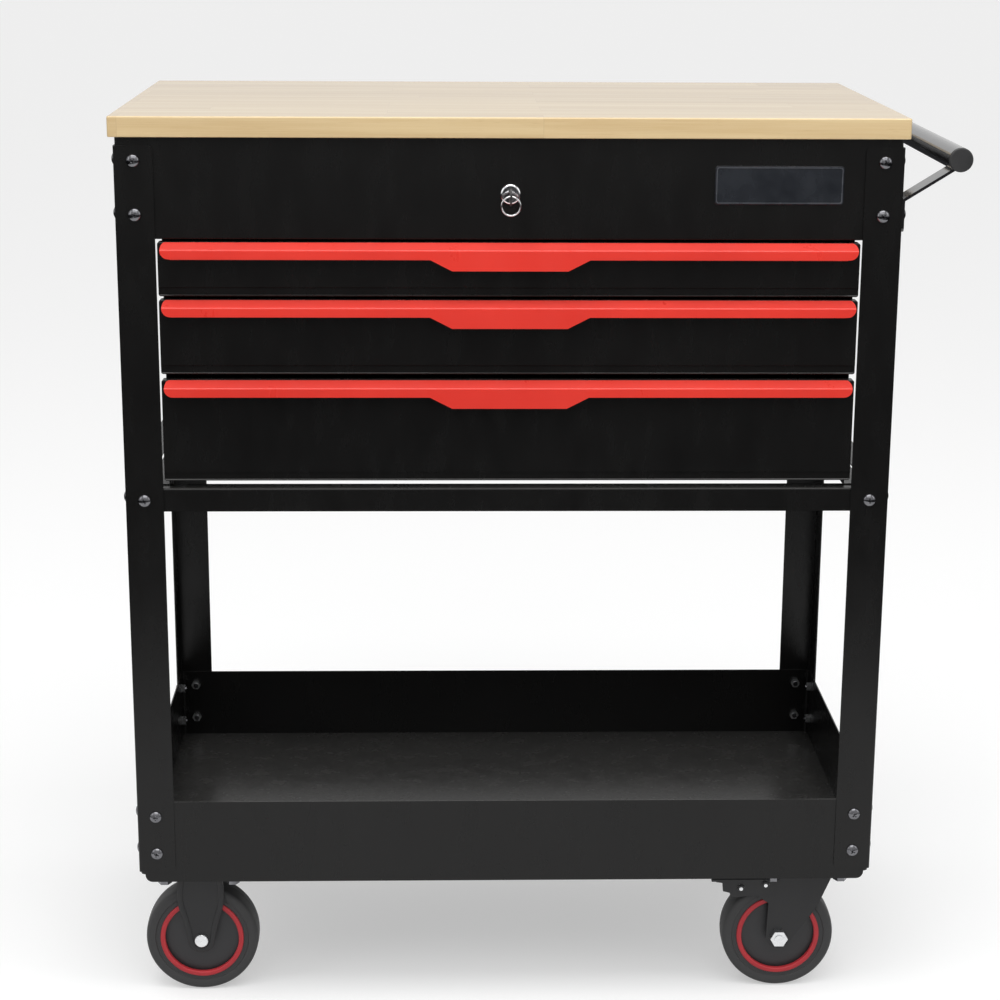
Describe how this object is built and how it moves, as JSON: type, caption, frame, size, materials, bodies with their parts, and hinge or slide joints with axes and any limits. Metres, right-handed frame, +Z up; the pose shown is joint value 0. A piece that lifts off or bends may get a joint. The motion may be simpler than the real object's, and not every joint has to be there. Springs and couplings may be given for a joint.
{
  "type": "rolling tool chest",
  "caption": "Rolling tool chest: bolted black steel frame with a wooden worktop, locking drawers with red pulls, an open lower tray, a side push handle and casters.",
  "frame": {"origin": "on the floor, under the middle of the whole footprint, push handle and key included; the cabinet's middle is 33 mm to -X and 10.25 mm to +Y of it", "axes": "+X to the push handle's side, -Y out of the drawers' fronts, +Z up"},
  "size_m": [0.88, 0.4675, 0.98],
  "materials": {
    "black_powder_coat": "semi-gloss black powder coat on sheet steel",
    "red_powder_coat": "satin red coating on the full-width pulls",
    "worktop_wood": "clear-sealed pale finger-jointed hardwood",
    "zinc_hardware": "bright zinc plating",
    "slide_steel": "zinc-plated ball-bearing slide",
    "chrome_trim": "polished chrome",
    "key_metal": "steel key with a black moulded bow",
    "badge_plate": "blank gloss badge plate",
    "handle_gloss_black": "high-gloss black enamel",
    "black_plastic": "moulded black end cap",
    "black_screw": "black chrome-plated screw head",
    "caster_black": "black enamel on pressed steel",
    "hub_plastic": "moulded polypropylene with a red ring",
    "tyre_rubber": "dark grey elastic rubber"
  },
  "bodies": {
    "cabinet": {"header_box": "black_powder_coat", "post_front_left": "black_powder_coat", "post_rear_left": "black_powder_coat", "post_front_right": "black_powder_coat", "post_rear_right": "black_powder_coat", "front_rail": "black_powder_coat", "rear_rail": "black_powder_coat", "side_rails": "black_powder_coat", "housing_side_left": "black_powder_coat", "housing_side_right": "black_powder_coat", "housing_back": "black_powder_coat", "lower_tray": "black_powder_coat", "base_channels": "black_powder_coat", "worktop": "worktop_wood", "worktop_screws": "zinc_hardware", "slide_outer_rails": "slide_steel", "nameplate": "badge_plate", "lock_housing": "chrome_trim", "handle_tube": "handle_gloss_black", "handle_end_caps": "black_plastic", "handle_brackets": "handle_gloss_black", "frame_screws": "black_screw", "frame_nuts": "zinc_hardware", "caster_bolts": "black_screw", "rigid_axles": "zinc_hardware", "rigid_fork_front": "caster_black", "swivel_plate_front": "caster_black", "rigid_fork_rear": "caster_black", "swivel_plate_rear": "caster_black"},
    "drawer_1": {"drawer_1_body": "black_powder_coat", "drawer_1_pull": "red_powder_coat", "drawer_1_slide_inner": "slide_steel"},
    "slides_1": {"drawer_1_slide_middle": "slide_steel"},
    "drawer_2": {"drawer_2_body": "black_powder_coat", "drawer_2_pull": "red_powder_coat", "drawer_2_slide_inner": "slide_steel"},
    "slides_2": {"drawer_2_slide_middle": "slide_steel"},
    "drawer_3": {"drawer_3_body": "black_powder_coat", "drawer_3_pull": "red_powder_coat", "drawer_3_slide_inner": "slide_steel"},
    "slides_3": {"drawer_3_slide_middle": "slide_steel"},
    "lock_core": {"lock_plug": "chrome_trim", "lock_cam": "zinc_hardware", "key": "key_metal"},
    "ring": {"key_ring": "chrome_trim"},
    "drawer_latch": {"lock_bar": "zinc_hardware"},
    "rigid_wheel_front": {"rigid_hub_front": "hub_plastic", "rigid_tyre_front": "tyre_rubber"},
    "swivel_front": {"swivel_fork_front": "caster_black", "swivel_axle_front": "zinc_hardware"},
    "swivel_wheel_front": {"swivel_hub_front": "hub_plastic", "swivel_tyre_front": "tyre_rubber"},
    "brake_front": {"brake_pedal_front": "caster_black"},
    "rigid_wheel_rear": {"rigid_hub_rear": "hub_plastic", "rigid_tyre_rear": "tyre_rubber"},
    "swivel_rear": {"swivel_fork_rear": "caster_black", "swivel_axle_rear": "zinc_hardware"},
    "swivel_wheel_rear": {"swivel_hub_rear": "hub_plastic", "swivel_tyre_rear": "tyre_rubber"},
    "brake_rear": {"brake_pedal_rear": "caster_black"}
  },
  "joints": [
    {"name": "drawer_1_slide", "type": "slide", "parent": "cabinet", "child": "drawer_1", "axis": [0, -1, 0], "range_m": [0, 0.36]},
    {"name": "slides_1_slide", "type": "slide", "parent": "cabinet", "child": "slides_1", "axis": [0, -1, 0], "range_m": [0, 0.18]},
    {"name": "drawer_2_slide", "type": "slide", "parent": "cabinet", "child": "drawer_2", "axis": [0, -1, 0], "range_m": [0, 0.36]},
    {"name": "slides_2_slide", "type": "slide", "parent": "cabinet", "child": "slides_2", "axis": [0, -1, 0], "range_m": [0, 0.18]},
    {"name": "drawer_3_slide", "type": "slide", "parent": "cabinet", "child": "drawer_3", "axis": [0, -1, 0], "range_m": [0, 0.36]},
    {"name": "slides_3_slide", "type": "slide", "parent": "cabinet", "child": "slides_3", "axis": [0, -1, 0], "range_m": [0, 0.18]},
    {"name": "key_turn", "type": "hinge", "parent": "cabinet", "child": "lock_core", "pos_m": [-0.033, -0.20675, 0.902], "axis": [0, 1, 0], "range_deg": [0, 90]},
    {"name": "key_ring_swing", "type": "hinge", "parent": "lock_core", "child": "ring", "pos_m": [-0.033, -0.22825, 0.902], "axis": [1, 0, 0], "range_deg": [-90, 45]},
    {"name": "latch_drop", "type": "slide", "parent": "cabinet", "child": "drawer_latch", "axis": [0, 0, -1], "range_m": [0, 0.008]},
    {"name": "rigid_wheel_front_spin", "type": "hinge", "parent": "cabinet", "child": "rigid_wheel_front", "pos_m": [-0.3725, -0.15975, 0.063], "axis": [0, 1, 0], "continuous": true},
    {"name": "swivel_front_turn", "type": "hinge", "parent": "cabinet", "child": "swivel_front", "pos_m": [0.303, -0.15975, 0.133], "axis": [0, 0, 1], "continuous": true},
    {"name": "swivel_wheel_front_spin", "type": "hinge", "parent": "swivel_front", "child": "swivel_wheel_front", "pos_m": [0.2755, -0.15975, 0.063], "axis": [0, 1, 0], "continuous": true},
    {"name": "brake_front_press", "type": "hinge", "parent": "swivel_front", "child": "brake_front", "pos_m": [0.2585, -0.15975, 0.1275], "axis": [0, -1, 0], "range_deg": [0, 16.5]},
    {"name": "rigid_wheel_rear_spin", "type": "hinge", "parent": "cabinet", "child": "rigid_wheel_rear", "pos_m": [-0.3725, 0.18025, 0.063], "axis": [0, 1, 0], "continuous": true},
    {"name": "swivel_rear_turn", "type": "hinge", "parent": "cabinet", "child": "swivel_rear", "pos_m": [0.303, 0.18025, 0.133], "axis": [0, 0, 1], "continuous": true},
    {"name": "swivel_wheel_rear_spin", "type": "hinge", "parent": "swivel_rear", "child": "swivel_wheel_rear", "pos_m": [0.2755, 0.18025, 0.063], "axis": [0, 1, 0], "continuous": true},
    {"name": "brake_rear_press", "type": "hinge", "parent": "swivel_rear", "child": "brake_rear", "pos_m": [0.2585, 0.18025, 0.1275], "axis": [0, -1, 0], "range_deg": [0, 16.5]}
  ],
  "couplings": [
    {"joint": "slides_1_slide", "follows": "drawer_1_slide", "ratio": 0.5},
    {"joint": "slides_2_slide", "follows": "drawer_2_slide", "ratio": 0.5},
    {"joint": "slides_3_slide", "follows": "drawer_3_slide", "ratio": 0.5},
    {"joint": "key_turn", "follows": "latch_drop", "rad_per_m": 196.35}
  ]
}
